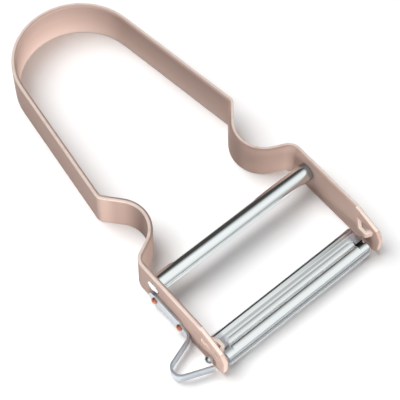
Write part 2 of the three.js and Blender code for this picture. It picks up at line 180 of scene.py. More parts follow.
def lengths(run):
    """The distance along a run to each of its points."""
    total = [0.0]
    for (here, _), (there, _) in zip(run, run[1:]):
        total.append(total[-1] + (there - here).length)
    return total


print("skin ready")

# %% [markdown]
# Holes, sheared tips and pressed windows are cut with Boolean modifiers, as a press tool would cut them.
# The tool can carry a material of its own, which is how a fresh cut shows bare metal.

# %% Cutting and joining
FAR = 60.0
CIRCLE_SIDES = 48


def worked(piece, tool, operation):
    modifier = piece.modifiers.new("work", "BOOLEAN")
    modifier.operation = operation
    modifier.solver = "EXACT"
    modifier.material_mode = "TRANSFER"
    modifier.object = tool
    depsgraph = bpy.context.evaluated_depsgraph_get()
    depsgraph.update()
    data = bpy.data.meshes.new_from_object(piece.evaluated_get(depsgraph))
    piece.modifiers.clear()
    piece.data = data
    bpy.data.objects.remove(tool)


def cut(piece, tool):
    worked(piece, tool, "DIFFERENCE")


def join(piece, other):
    worked(piece, other, "UNION")


def span(side, first, last):
    """Two places along x in rising order, on the right side (1) or mirrored on the left one (-1)."""
    return sorted((side * first, side * last))


def prism(name, outline, low, high):
    """A drawing in (y, z), carried along x."""
    return skin(name, [[(x, y, z) for y, z in outline] for x in (low, high)])


def block(name, across, back, height):
    """A block between two places each along x, y and z."""
    (front, rear), (low, high) = back, height
    return prism(name, [(front, low), (rear, low), (rear, high), (front, high)], *across)


def circle(y, z, radius):
    turns = fan(math.tau, CIRCLE_SIDES)[:-1]
    return [(y + radius * math.cos(a), z + radius * math.sin(a)) for a in turns]


def drill(piece, y, z, radius, low, high):
    cut(piece, prism("drill", circle(y, z, radius), low, high))


print("cutting tools ready")

# %% [markdown]
# Node trees are long to write by hand. One small class wraps a socket so that sums on it add Math nodes.
# Another holds a tree and adds any node by its type, its settings and its sockets.

# %% Shader sums
class Value:
    """A socket that can be used in sums."""

    def __init__(self, bench, socket):
        self.bench = bench
        self.socket = socket

    def sum(self, operation, first, second):
        return self.bench.node("ShaderNodeMath", {"operation": operation}, {0: first, 1: second})

    def __add__(self, other):
        return self.sum("ADD", self, other)

    def __radd__(self, other):
        return self.sum("ADD", other, self)

    def __sub__(self, other):
        return self.sum("SUBTRACT", self, other)

    def __rsub__(self, other):
        return self.sum("SUBTRACT", other, self)

    def __mul__(self, other):
        return self.sum("MULTIPLY", self, other)

    def __rmul__(self, other):
        return self.sum("MULTIPLY", other, self)


class Bench:
    """A node tree to work on."""

    def __init__(self, tree):
        self.tree = tree
        tree.nodes.clear()

    def node(self, kind, settings=None, sockets=None, output=0):
        made = self.tree.nodes.new(kind)
        for name, value in (settings or {}).items():
            setattr(made, name, value)
        for name, value in (sockets or {}).items():
            if isinstance(value, Value):
                self.tree.links.new(value.socket, made.inputs[name])
            else:
                made.inputs[name].default_value = value
        return Value(self, made.outputs[output] if len(made.outputs) else None)

    def outputs(self, kind, sockets=None):
        """Every output of a new node, by its name."""
        made = self.node(kind, {}, sockets).socket.node
        return {output.name: Value(self, output) for output in made.outputs}

    def parts(self, vector):
        """The three numbers of a vector."""
        return self.outputs("ShaderNodeSeparateXYZ", {0: vector}).values()

    def unsigned(self, value):
        return self.node("ShaderNodeMath", {"operation": "ABSOLUTE"}, {0: value})

    def blend(self, share, first, second):
        """A colour between two, by a share from 0 to 1."""
        return self.node("ShaderNodeMix", {"data_type": "RGBA"}, {0: share, 6: first, 7: second}, 2)

    def ease(self, value, start, stop, low=0.0, high=1.0):
        """A smooth step of a value from one level to another."""
        settings = {"interpolation_type": "SMOOTHSTEP"}
        sockets = {0: value, 1: start, 2: stop, 3: low, 4: high}
        return self.node("ShaderNodeMapRange", settings, sockets)

    def band(self, value, start, full, fade, stop):
        """1 over a stretch of a value, with smooth ends."""
        return self.ease(value, start, full) * self.ease(value, stop, fade)

    def scaled(self, vector, factors):
        return self.node("ShaderNodeVectorMath", {"operation": "MULTIPLY"}, {0: vector, 1: factors})

    def noise(self, vector, factors, detail):
        sockets = {"Scale": 1.0, "Detail": detail, "Roughness": 0.55}
        return self.node("ShaderNodeTexNoise", {}, {"Vector": self.scaled(vector, factors), **sockets})

    def relief(self, height, strength, depth):
        """A bump, with its depth in millimetres."""
        sockets = {"Strength": strength, "Distance": depth * MM, "Height": height}
        return self.node("ShaderNodeBump", {}, sockets)

    def grain(self):
        """The place along and around a strip, in millimetres."""
        return self.node("ShaderNodeUVMap", {"uv_map": "grain"})

    def spot(self):
        """The place on the piece, in millimetres."""
        return self.scaled(self.node("ShaderNodeTexCoord", {}, {}, "Object"), even(1 / MM))

    def layout(self, spot):
        """The same place along the blade and back from the pivot, and above the table."""
        x, y, z = self.parts(spot)
        return x - PIVOT[0] / MM, y - PIVOT[1] / MM, z


def even(factor):
    return (factor, factor, factor)


def finish(name, make):
    """A material whose surface is made by a function on its bench."""
    material = bpy.data.materials.new(name)
    material.use_nodes = True
    bench = Bench(material.node_tree)
    surface = bench.node("ShaderNodeBsdfPrincipled", {}, make(bench))
    bench.node("ShaderNodeOutputMaterial", {}, {"Surface": surface})
    print("finish", name, len(material.node_tree.nodes), "nodes")
    return material


print("bench ready")

# %% [markdown]
# The strap is aluminium strip with a satin, rose-tinted skin whose tint varies a little at random. Shade is
# painted into that colour: painted shade round the waists, deepest towards the legs, and inside the loop and
# grips painted shade at the upper edge and painted light at the lower one. One flat colour would be simpler,
# but would look like paint. So the colour is built in layers, whose limits are millimetres back from the
# pivot, round the strip or above the table.

# %% Rose finish: the tint and painted shade
STRIP_WIDTH = 12.7
ROSE = (0.66, 0.485, 0.42, 1)
DEEP_ROSE = (0.54, 0.385, 0.33, 1)
# painted shade round the waists and, deeper, towards the legs
WAIST_PAINTED_SHADE, WAIST_SHADE_SHARE = (0.44, 0.31, 0.265, 1), 0.8
BEND_PAINTED_SHADE, BEND_SHADE_SHARE = (0.32, 0.22, 0.185, 1), 0.5
# painted shade at the top and painted light at the bottom of the inner walls
UPPER_PAINTED_SHADE, UPPER_SHADE_SHARE = (0.36, 0.26, 0.225, 1), 0.55
LOWER_PAINTED_LIGHT, LOWER_LIGHT_SHARE = (0.82, 0.65, 0.575, 1), 0.6
WAIST_SHADE_BACK = (28.0, 33.0, 46.3, 48.8)
BEND_SHADE_BACK = (27.5, 31.5, 34.5, 38.0)
INNER_SHADE_BACK = (49.0, 53.0)
INNER_WALL = (14.6, 15.4)
SHADE_HEIGHT = (5.0, 12.3)
LIGHT_HEIGHT = (7.0, 0.5)


def rose_tint_and_painted_shade(bench, mottle, back, round_strip, height):
    # painted shade round the waists, and deeper painted shade towards the legs
    waist_shade = bench.band(back, *WAIST_SHADE_BACK)
    bend = bench.band(back, *BEND_SHADE_BACK)
    # inside the loop and grips: painted shade towards the upper edge, painted light towards the lower edge
    inner = bench.ease(round_strip, *INNER_WALL) * bench.ease(back, *INNER_SHADE_BACK)
    tint = bench.blend(mottle, DEEP_ROSE, ROSE)
    tint = bench.blend(waist_shade * WAIST_SHADE_SHARE, tint, WAIST_PAINTED_SHADE)
    tint = bench.blend(bend * BEND_SHADE_SHARE, tint, BEND_PAINTED_SHADE)
    tint = bench.blend(inner * bench.ease(height, *SHADE_HEIGHT) * UPPER_SHADE_SHARE, tint, UPPER_PAINTED_SHADE)
    return bench.blend(inner * bench.ease(height, *LIGHT_HEIGHT) * LOWER_LIGHT_SHARE, tint, LOWER_PAINTED_LIGHT)


print("rose tint ready for a strip", STRIP_WIDTH, "mm wide")

# %% [markdown]
# The rolled grain runs along the strip and only just shows, so it is a long stretched noise that moves the
# roughness and a faint bump. A painted highlight, broken up by wear noise, lies on the outer half of the
# upper edge and on the lower edge, and the inner half of the upper edge is burnished. Full metal would turn
# the sides dark, so the skin has only a small share of it.

# %% Rose finish: grain and edges
# pale rose for the painted highlight along the arrises, broken up by wear
HIGHLIGHT_AND_WEAR_ROSE = (0.84, 0.71, 0.64, 1)
TOP_EDGE = (STRIP_WIDTH - 0.42, STRIP_WIDTH - 0.1)
BOTTOM_EDGE = (0.36, 0.08)
RIM_INNER_HALF = (0.85, 0.6)
EDGE_WEAR = (0.25, 0.6, 0.75, 1.0)
ROLLED_GRAIN = (0.06, 5.0, 1.0)


def rose(bench):
    grain = bench.grain()
    spot = bench.spot()
    _, round_strip, _ = bench.parts(grain)
    _, back, height = bench.layout(spot)
    streaks = bench.noise(grain, ROLLED_GRAIN, detail=4.0)
    clouds = bench.noise(spot, even(0.09), detail=2.0)
    pores = bench.noise(spot, even(4.0), detail=2.0)
    wear = bench.ease(bench.noise(spot, even(0.5), detail=3.0), *EDGE_WEAR)
    top = bench.ease(height, *TOP_EDGE)
    inside = bench.ease(round_strip, *RIM_INNER_HALF)
    burnished = top * inside
    # painted highlight along the arrises, broken up by wear noise
    highlight_and_wear = (top * (1 - inside) * 0.8 + bench.ease(height, *BOTTOM_EDGE)) * wear
    tint = rose_tint_and_painted_shade(bench, streaks * 0.45 + clouds * 0.35, back, round_strip, height)
    return {
        "Base Color": bench.blend(highlight_and_wear, tint, HIGHLIGHT_AND_WEAR_ROSE),
        "Metallic": 0.18 + burnished * 0.35 - highlight_and_wear * 0.1,
        "Specular IOR Level": 0.0,
        "Roughness": 0.27 + streaks * 0.12 + pores * 0.05,
        "Normal": bench.relief(streaks * 0.7 + pores * 0.3, strength=0.05, depth=0.02),
    }


rose_strap = finish("rose_strap", rose)

# %% [markdown]
# Where the strip was sheared or lanced, the tint stops and paler metal shows, with the fine drag lines of
# the press tool across its thickness. It could be a mask in the rose finish, but the cuts already know
# which faces they made, so it is a finish of its own.

# %% Sheared edge
CUT_PALE = (0.94, 0.83, 0.76, 1)
CUT_WARM = (0.84, 0.68, 0.59, 1)
DRAG_LINES = (0.4, 3.0, 3.0)


def sheared(bench):
    drag = bench.noise(bench.spot(), DRAG_LINES, detail=3.0)
    return {
        "Base Color": bench.blend(drag, CUT_WARM, CUT_PALE),
        "Metallic": 0.35,
        "Roughness": 0.26 + drag * 0.12,
        "Normal": bench.relief(drag, strength=0.08, depth=0.02),
    }


sheared_edge = finish("sheared_edge", sheared)

# %% [markdown]
# The bar, pins, eye remover and rivets are bright metal that differ in how they were worked: the bar is
# drawn and polished, the pins turned, the remover cut from spring strip, the rivets pressed. One function
# takes the two tints, the direction of the working lines and the roughness, so that they stay one family.

# %% Bright metals
BROAD_LINES = 0.23
LINE_CONTRAST = (0.3, 0.7)


def bright(tint, shade, lines, smooth, rough, strength):
    def make(bench):
        spot = bench.spot()
        fine = bench.noise(spot, lines, detail=3.0)
        broad = bench.noise(spot, tuple(BROAD_LINES * factor for factor in lines), detail=2.0)
        smudge = bench.noise(spot, even(0.12), detail=2.0)
        lined = fine * 0.6 + broad * 0.4
        return {
            "Base Color": bench.blend(bench.ease(lined, *LINE_CONTRAST), shade, tint),
            "Metallic": 1.0,
            "Roughness": smooth + (rough - smooth) * (lined * 0.7 + smudge * 0.3),
            "Normal": bench.relief(lined, strength, depth=0.01),
        }

    return make


pin_steel = finish("pin_steel", bright(
    tint=(0.78, 0.83, 0.86, 1), shade=(0.66, 0.72, 0.75, 1), lines=(9, 0.6, 0.6),
    smooth=0.1, rough=0.24, strength=0.04,
))
remover_steel = finish("remover_steel", bright(
    tint=(0.68, 0.73, 0.77, 1), shade=(0.55, 0.60, 0.65, 1), lines=(0.3, 0.3, 7),
    smooth=0.3, rough=0.46, strength=0.05,
))
copper = finish("copper", bright(
    tint=(0.80, 0.34, 0.23, 1), shade=(0.62, 0.22, 0.15, 1), lines=even(2),
    smooth=0.28, rough=0.44, strength=0.05,
))

# %% [markdown]
# The bar is drawn through a die and then polished, so its lines run along it. A narrow band beside the
# right leg gets painted shade, a dark reflection painted into its colour. The place along the bar marks that
# band.

# %% Bar metal
# painted shade standing for a dark reflection near the right leg
PAINTED_END_SHADE = (0.40, 0.51, 0.57, 1)
END_SHADE_BAND = (24.0, 24.9, 25.9, 26.0)
drawn_bar = bright(
    tint=(0.90, 0.945, 0.95, 1), shade=(0.84, 0.885, 0.89, 1), lines=(0.15, 6, 6),
    smooth=0.08, rough=0.2, strength=0.03,
)


def bar_surface(bench):
    made = drawn_bar(bench)
    across, _, _ = bench.layout(bench.spot())
    # painted shade, a dark reflection, in the band beside the right leg
    made["Base Color"] = bench.blend(bench.band(across, *END_SHADE_BAND), made["Base Color"], PAINTED_END_SHADE)
    return made


polished_bar = finish("polished_bar", bar_surface)

# %% [markdown]
# The blade is rolled steel. Shade is painted into its colour: painted shade on the front flange, going dark
# towards the foot, painted shade on the ends of the face, and a nearly black painted shade in the pocket
# round each eye, more so on the right. It could be painted on an image, but limits in millimetres from the
# pivot need no file and stay readable.

# %% Blade steel: the painted shade
# painted shade on the front flange, darkest at its foot
FLANGE_PAINTED_SHADE = (0.42, 0.43, 0.46, 1)
FLANGE_PAINTED_DARK = (0.17, 0.18, 0.20, 1)
FLANGE_FRONT = (-3.1, -3.3)
FLANGE_UP = (-1.32, -1.18, 0.6, 0.95)
FLANGE_SHADE_FADE = (0.5, -0.8)
# painted shade on the ends of the face
END_PAINTED_SHADE = (0.60, 0.61, 0.66, 1)
END_ACROSS = (20.8, 22.4)
END_BACK = (-0.7, -0.5)
# nearly black painted shade in the pocket round each eye, stronger on the right
POCKET_PAINTED_SHADE = (0.05, 0.065, 0.065, 1)
POCKET_ACROSS = (21.65, 21.75)
POCKET_BACK = (-2.9, -1.6, 0.9, 1.0)
POCKET_SHADE_SHARE = (-9.2, 0.8, 0.45, 1.0)
LID_UP = (0.95, 1.1)
LID_BACK = (-1.1, -0.9)


def painted_steel_shade(bench, face, across, back, up):
    # painted shade on the front flange, darker towards the foot
    flange = bench.band(up, *FLANGE_UP) * bench.ease(back, *FLANGE_FRONT)
    flange_shade = bench.blend(bench.ease(up, *FLANGE_SHADE_FADE), FLANGE_PAINTED_SHADE, FLANGE_PAINTED_DARK)
    face = bench.blend(flange, face, flange_shade)
    outwards = bench.unsigned(across)
    # painted shade on both ends of the face
    end_shade = bench.ease(outwards, *END_ACROSS) * bench.ease(back, *END_BACK)
    face = bench.blend(end_shade, face, END_PAINTED_SHADE)
    # painted shade in the pockets round the eyes, stronger on the right
    lid = bench.ease(up, *LID_UP) * bench.ease(back, *LID_BACK)
    pocket_shade = bench.ease(outwards, *POCKET_ACROSS) * bench.band(back, *POCKET_BACK) * (1 - lid)
    return bench.blend(pocket_shade * bench.ease(across, *POCKET_SHADE_SHARE), face, POCKET_PAINTED_SHADE)


print("pockets begin", POCKET_ACROSS[0], "mm from the blade's middle")

# %% [markdown]
# Towards the cutting edge the rolled face has been ground, and the grinding lines run across the edge
# instead of along the blade. The distance from the pivot says where one gives way to the other.

# %% Blade steel
STEEL = (0.89, 0.93, 0.935, 1)
STEEL_SHADE = (0.82, 0.86, 0.865, 1)
GROUND = (0.86, 0.90, 0.90, 1)
GROUND_BACK = (-0.95, -0.9, 0.35, 0.55)
ROLLED_LINES = (0.12, 7, 7)
GRINDING_LINES = (8, 0.5, 0.5)


def blade_surface(bench):
    spot = bench.spot()
    across, back, height = bench.layout(spot)
    ground = bench.band(back, *GROUND_BACK)
    rolled = bench.noise(spot, ROLLED_LINES, detail=4.0)
    grinding = bench.noise(spot, GRINDING_LINES, detail=3.0)
    stains = bench.noise(spot, even(0.15), detail=2.0)
    lined = rolled * (1 - ground) + grinding * ground
    face = bench.blend(rolled * 0.6 + stains * 0.4, STEEL_SHADE, STEEL)
    face = bench.blend(ground, face, GROUND)
    return {
        "Base Color": painted_steel_shade(bench, face, across, back, height - PIVOT_HEIGHT),
        "Metallic": 1.0,
        "Roughness": 0.12 + rolled * 0.08 + stains * 0.04 + ground * 0.1,
        "Normal": bench.relief(lined, strength=0.05, depth=0.01),
    }


blade_steel = finish("blade_steel", blade_surface)

# %% [markdown]
# A finished piece is shaded smooth where its faces meet gently and sharp where they do not. It then takes
# the place of its node and rides on the body that moves it.

# %% Handing a piece over
SHARP_ANGLE = 32


def hand_over(piece, node, body, material=None):
    if material:
        piece.data.materials.clear()
        piece.data.materials.append(material)
    piece.data.polygons.foreach_set("use_smooth", [True] * len(piece.data.polygons))
    piece.data.set_sharp_from_angle(angle=math.radians(SHARP_ANGLE))
    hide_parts(node)
    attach(piece, body)
    size = [round(length / MM, 2) for length in piece.dimensions]
    tell(f"{piece.name} {size} mm", piece)


print("edges over", SHARP_ANGLE, "degrees stay sharp")

# %% [markdown]
# The handle is one strip, bent on edge round a wide loop at the back, in at the shoulders, round the two
# waists and out into straight legs. The peeler is the same on both sides, so half of the middle line is
# drawn, from the right tip to the back of the loop, and mirrored.

# %% Strap: middle line
STRIP_THICKNESS = 1.3
LEG_INNER = 26.0
LEG_OUTER = LEG_INNER + STRIP_THICKNESS
LEG_MIDDLE = LEG_INNER + STRIP_THICKNESS / 2
TIP_REACH = 4.9
LEG_BEND = Vector((LEG_MIDDLE, 29.7))
LEG_BEND_RADIUS = 3.4
WAIST = Vector((LEG_MIDDLE - 1.4, 39.95))
WAIST_RADIUS = 8.6
SHOULDER = Vector((LEG_MIDDLE - 3.7, 50.5))
SHOULDER_RADIUS = 2.0
LOOP = Vector((0.0, 87.7))
LOOP_RADIUS = 17.85


def half_strap():
    tip = Vector((LEG_MIDDLE, -TIP_REACH))
    waist_in = touch_point(LEG_BEND, WAIST, WAIST_RADIUS, -1)
    waist_out = touch_point(SHOULDER, WAIST, WAIST_RADIUS, 1)
    waist_turn = [heading_angle(point - WAIST) for point in (waist_in, waist_out)]
    loop_in = touch_point(SHOULDER, LOOP, LOOP_RADIUS, 1)
    loop_start = heading_angle(loop_in - LOOP)
    if loop_start > math.pi:
        loop_start -= math.tau
    run = end_run(tip, tip, LEG_BEND)
    run += bend_run(tip, LEG_BEND, waist_in, LEG_BEND_RADIUS)
    run += arc_run(WAIST, WAIST_RADIUS, *waist_turn)
    run += bend_run(waist_out, SHOULDER, loop_in, SHOULDER_RADIUS)
    return run + arc_run(LOOP, LOOP_RADIUS, loop_start, QUARTER)


def mirrored(vector):
    return Vector((-vector.x, vector.y))


right_half = half_strap()
left_half = [(mirrored(point), mirrored(left)) for point, left in reversed(right_half)]
strap_run = right_half + left_half[1:]
print("strip length", round(lengths(strap_run)[-1], 1), "mm")

# %% [markdown]
# The strip came from the mill with soft arrises, and they catch the light all round the handle. A curve
# with a bevel profile could draw it, but then the holes could not be cut. So the strip's section, with its
# four arrises rounded, is carried along the middle line as a mesh.

# %% Strap: the bent strip
ARRIS = 0.35


def rounded_section(half, low, high, radius, steps=4):
    """A strip's section as (across, height) points, its four arrises rounded."""
    points = []
    for across, height, start in ((1, 1, 0), (-1, 1, 1), (-1, -1, 2), (1, -1, 3)):
        centre = (across * (half - radius), (high if height > 0 else low) - height * radius)
        for i in range(steps + 1):
            angle = (start + i / steps) * QUARTER
            points.append((centre[0] + radius * math.cos(angle), centre[1] + radius * math.sin(angle)))
    return points


def strip(name, run, half, low, high, radius):
    section = rounded_section(half, low, high, radius)
    rings = [[(*(point + left * across), z) for across, z in section] for point, left in run]
    return skin(name, rings, lengths(run))


strap = strip("strap", strap_run, STRIP_THICKNESS / 2, 0.0, STRIP_WIDTH, ARRIS)
for material in (rose_strap, sheared_edge):
    strap.data.materials.append(material)
tell("strip bent", strap)

# %% [markdown]
# The legs' tips are sheared to a taper with a round nose. The strip could be drawn narrower there, but a
# press cuts it off, and so does this tool, which reaches across both legs. It carries the bare finish, so
# the slanted cut comes out pale, and it swells at the legs' faces, which rounds the cut's edges.

# %% Strap: tapered tips
TAPER_BACK = 5.0
TAPER_FRONT = (-3.4, 10.0)
TAPER_SLOPE = (STRIP_WIDTH - TAPER_FRONT[1]) / (TAPER_BACK - TAPER_FRONT[0])
TAPER_BEND = 1.5
NOSE_HIGH = (-TIP_REACH, 7.6, 2.2)
NOSE_LOW = (-TIP_REACH, 2.2, 1.8)
NOSE_FOOT = (-0.9, -2.2)
TIP_ROUND = 0.3
WASTE_BACK, WASTE_FRONT = 12.0, -15.0
WASTE_LOW, WASTE_HIGH = -5.0, 20.0
WASTE_INSET = 0.5
WASTE_GAP = 0.1
FACES_UP = 0.9


def bare(tool, is_cut=lambda polygon: True):
    """Gives a tool both strap finishes, the bare one on the faces that cut."""
    for material in (rose_strap, sheared_edge):
        tool.data.materials.append(material)
    for polygon in tool.data.polygons:
        polygon.material_index = 1 if is_cut(polygon) else 0
    return tool


def level(polygon):
    return abs(polygon.normal.z) > FACES_UP


tip_run = corner_run([
    (WASTE_BACK, STRIP_WIDTH + (WASTE_BACK - TAPER_BACK) * TAPER_SLOPE),
    (*TAPER_FRONT, TAPER_BEND),
    NOSE_HIGH,
    NOSE_LOW,
    NOSE_FOOT,
])
waste_corners = [(NOSE_FOOT[0], WASTE_LOW), (WASTE_FRONT, WASTE_LOW)]
waste_corners += [(WASTE_FRONT, WASTE_HIGH), (WASTE_BACK, WASTE_HIGH)]


def tip_waste(x, inset):
    edge = [tuple(point + left * inset) for point, left in tip_run]
    return [(x, y, z) for y, z in edge + waste_corners]


rounding = [(TIP_ROUND * (1 - math.cos(a)), TIP_ROUND * (1 - math.sin(a))) for a in fan(QUARTER, 5)]
left_side = [(-FAR, WASTE_INSET), (-LEG_OUTER - WASTE_GAP, WASTE_INSET)]
left_side += [(-LEG_OUTER + depth, inset) for depth, inset in rounding]
left_side += [(-LEG_INNER - depth, inset) for depth, inset in reversed(rounding)]
left_side += [(-LEG_INNER + WASTE_GAP, WASTE_INSET)]
both_sides = left_side + [(-x, inset) for x, inset in reversed(left_side)]
shear = skin("shear", [tip_waste(x, inset) for x, inset in both_sides])
cut(strap, bare(shear, level))
tell("tips sheared", strap)

# %% [markdown]
# Each leg has a window whose strip was lanced free at both edges and pressed inwards. That bridge stops the
# blade's swing. Pushing the leg's own faces in would stretch them, so the window is cut right through and a
# bent bridge is joined in. Its top and bottom are lanced edges, so they are bare.

# %% Strap: lanced stops
STOP_LOW = PIVOT_HEIGHT + 3.2
STOP_HIGH = STOP_LOW + 2.1
STOP_BACK = 4.0
STOP_FRONT = -1.9
STOP_DEPTH = 2.15
REAR_RAMP = 3.0
FRONT_RAMP = 0.8
STOP_HALF = 0.5
STOP_BEND = 0.5
STOP_ROOT = 1.0
STOP_ARRIS = 0.12
LANCE_GAP = 0.05
cut(strap, bare(block("window", (-FAR, FAR), (STOP_FRONT, STOP_BACK), (STOP_LOW, STOP_HIGH))))
for side in SIDES:
    flush, deep = side * LEG_MIDDLE, side * (LEG_MIDDLE - STOP_DEPTH)
    bridge_run = corner_run([
        (flush, STOP_BACK + STOP_ROOT),
        (flush, STOP_BACK, STOP_BEND),
        (deep, STOP_BACK - REAR_RAMP, STOP_BEND),
        (deep, STOP_FRONT + FRONT_RAMP, STOP_BEND),
        (flush, STOP_FRONT, STOP_BEND),
        (flush, STOP_FRONT - STOP_ROOT),
    ])
    bridge_low, bridge_high = STOP_LOW + LANCE_GAP, STOP_HIGH - LANCE_GAP
    bridge = strip("bridge", bridge_run, STOP_HALF, bridge_low, bridge_high, STOP_ARRIS)
    join(strap, bare(bridge, level))
tell("stops lanced", strap)

# %% [markdown]
# The legs are drilled for the blade's pins, which turn in them, and for the bar. The bar's holes are sunk a
# little on the outside, so that its ends can be hammered into them. The left leg alone has the two rivet
# holes. Drills that go through both legs keep each pair of holes in line.

# %% Strap: holes
BAR_BACK = 22.95
BAR_HEIGHT = 7.8
TENON_RADIUS = 1.95
SEAT_GAP = 0.05
PIN_RADIUS = 0.95
PIN_GAP = 0.1
RIVET_BACKS = {"rear": 21.5, "front": 11.6}
RIVET_HEIGHT = 3.5
RIVET_RADIUS = 0.7
SINK = ((LEG_OUTER - 0.3, TENON_RADIUS + 0.02), (LEG_OUTER + 0.1, TENON_RADIUS + 0.34))


def drill_for_rivets(piece):
    for back in RIVET_BACKS.values():
        drill(piece, back, RIVET_HEIGHT, RIVET_RADIUS + SEAT_GAP, -FAR, 0)


drill(strap, 0, PIVOT_HEIGHT, PIN_RADIUS + PIN_GAP, -FAR, FAR)
drill(strap, BAR_BACK, BAR_HEIGHT, TENON_RADIUS + SEAT_GAP, -FAR, FAR)
for side in SIDES:
    rings = [[(side * x, *spot) for spot in circle(BAR_BACK, BAR_HEIGHT, radius)] for x, radius in SINK]
    cut(strap, skin("sink", rings))
drill_for_rivets(strap)
hand_over(strap, "handle_strap", "frame")

# %% [markdown]
# Bar, pins and rivets are turned on a lathe, and a lathe is what draws them here: a profile of a few points
# is spun about its axis. A cylinder with bevels would do for one of them, but a profile does for all.

# %% Turned pieces
TURN_SIDES = 72


def turned(name, profile, y, z, side=1):
    """A profile of (x, radius) points, spun about x. Side -1 turns it round to face the other way."""
    mesh = bmesh.new()
    rows = []
    for x, radius in profile:
        turns = fan(math.tau, TURN_SIDES)[:-1] if radius > 0 else [0.0]
        spots = [(side * x, y + radius * math.cos(a), z + radius * math.sin(a)) for a in turns]
        rows.append([mesh.verts.new(place(*spot)) for spot in spots])
    for here, there in zip(rows, rows[1:]):
        for j in range(TURN_SIDES):
            corners = ((here, j), (here, j + 1), (there, j + 1), (there, j))
            ring = [row[column % len(row)] for row, column in corners]
            mesh.faces.new(list(dict.fromkeys(ring)))
    return finished_mesh(name, mesh)


def round_off(start, stop, steps=6):
    """A quarter round from one (x, radius) point to another, bulging outwards."""
    (x0, r0), (x1, r1) = start, stop
    return [(x0 + (x1 - x0) * math.sin(a), r1 + (r0 - r1) * math.cos(a)) for a in fan(QUARTER, steps)]


print("lathe with", TURN_SIDES, "sides")

# %% [markdown]
# The cross bar is a polished rod, turned down at both ends to tenons that pass through the legs and are
# peened over. The arrises of its shoulders and the peened rims catch the light in thin lines, so they are
# drawn as small arcs, not as corners, and each peened end swells to a low dome.

# %% Cross bar
BAR_RADIUS = 2.5
BAR_ROUND = 0.2
SHOULDER_X = LEG_INNER - SEAT_GAP
PEEN_START = LEG_OUTER - 0.02
PEEN_RIM = LEG_OUTER + 0.12
PEEN_ROUND = 0.14
DOME_HEIGHT = 0.23
DOME_RADIUS = 1.75
DOME_STEPS = (0.9, 0.75, 0.5, 0.25, 0.0)
bar_half = round_off((SHOULDER_X - BAR_ROUND, BAR_RADIUS), (SHOULDER_X, BAR_RADIUS - BAR_ROUND))
bar_half += [(SHOULDER_X, TENON_RADIUS), (LEG_OUTER - SEAT_GAP, TENON_RADIUS)]
bar_half += round_off((PEEN_START, TENON_RADIUS), (PEEN_RIM, TENON_RADIUS - PEEN_ROUND), steps=4)
bar_half += [(PEEN_RIM + DOME_HEIGHT * (1 - step**2), DOME_RADIUS * step) for step in DOME_STEPS]
bar_profile = [(-x, radius) for x, radius in reversed(bar_half)] + bar_half
bar = turned("bar", bar_profile, BAR_BACK, BAR_HEIGHT)
hand_over(bar, "cross_bar", "frame", polished_bar)

# %% [markdown]
# The blade hangs on two short pins. Each is thin inside the blade's eye, thicker in the leg's hole, and
# ends outside its leg in a polished ball that keeps it there. One profile serves both, turned round for the
# left one.

# %% Pivot pins
EYE_START = 21.9
NECK_RADIUS = 0.6
NECK_END = LEG_INNER + 0.3
BALL_START = LEG_OUTER + 0.1
BALL_RADIUS = 1.15
BALL_STEPS = 10
PIN_END = BALL_START + 1.9
ball_middle = (PIN_END - BALL_RADIUS, BALL_RADIUS)
pin_profile = [(EYE_START, 0), (EYE_START, NECK_RADIUS), (NECK_END, NECK_RADIUS)]
pin_profile += [(NECK_END, PIN_RADIUS), (BALL_START, PIN_RADIUS)]
pin_profile += reversed(round_off(ball_middle, (BALL_START, PIN_RADIUS)))
pin_profile += round_off(ball_middle, (PIN_END, 0.0), BALL_STEPS)[1:-1] + [(PIN_END, 0)]
for side, word in zip(SIDES, ("right", "left")):
    pin = turned("pin_" + word, pin_profile, 0, PIVOT_HEIGHT, side)
    hand_over(pin, word + "_pivot_pin", "blade", pin_steel)

# %% [markdown]
# The blade is one stamping. Behind the slot lies the plate with its turned-down rear flange, a pressed
# groove and the ground cutting edge. Before the slot a crest rolls over into the front flange and its
# flared lip. The plate is a tray: a rounded outline stacked in levels, with a smaller one taken out from
# below. A Solidify modifier on a bent sheet would also do, but gives less hold on the corners.

# %% Blade: the plate
BLADE_END = 24.3
BLADE_BACK = 4.35
BLADE_CORNER = 0.8
SHEET = 0.55
PLATE_TOP = PIVOT_HEIGHT + 1.45
PLATE_FRONT = -3.0
HOLLOW_FRONT = -4.0
FLANGE_LOW = PLATE_TOP - 1.4
FOOT_ROUND = 0.06
REAR_BEND = 0.95
NOTCH_LENGTH = 1.2
NOTCH_BACK = 1.0
PAST = 1.0


def stacked(name, outline, levels):
    """A plan outline of (point, left) pairs, repeated at (inset, height) levels."""
    return skin(name, [[(*(point - left * inset), z) for point, left in outline] for inset, z in levels])


def fillet(inset, height, radius):
    turns = fan(QUARTER, 8)
    return [(inset + radius * (1 - math.cos(a)), height + radius * math.sin(a)) for a in turns]


def plate_outline(front):
    return corner_run([
        (-BLADE_END, front),
        (-BLADE_END, BLADE_BACK, BLADE_CORNER),
        (BLADE_END, BLADE_BACK, BLADE_CORNER),
        (BLADE_END, front),
    ])


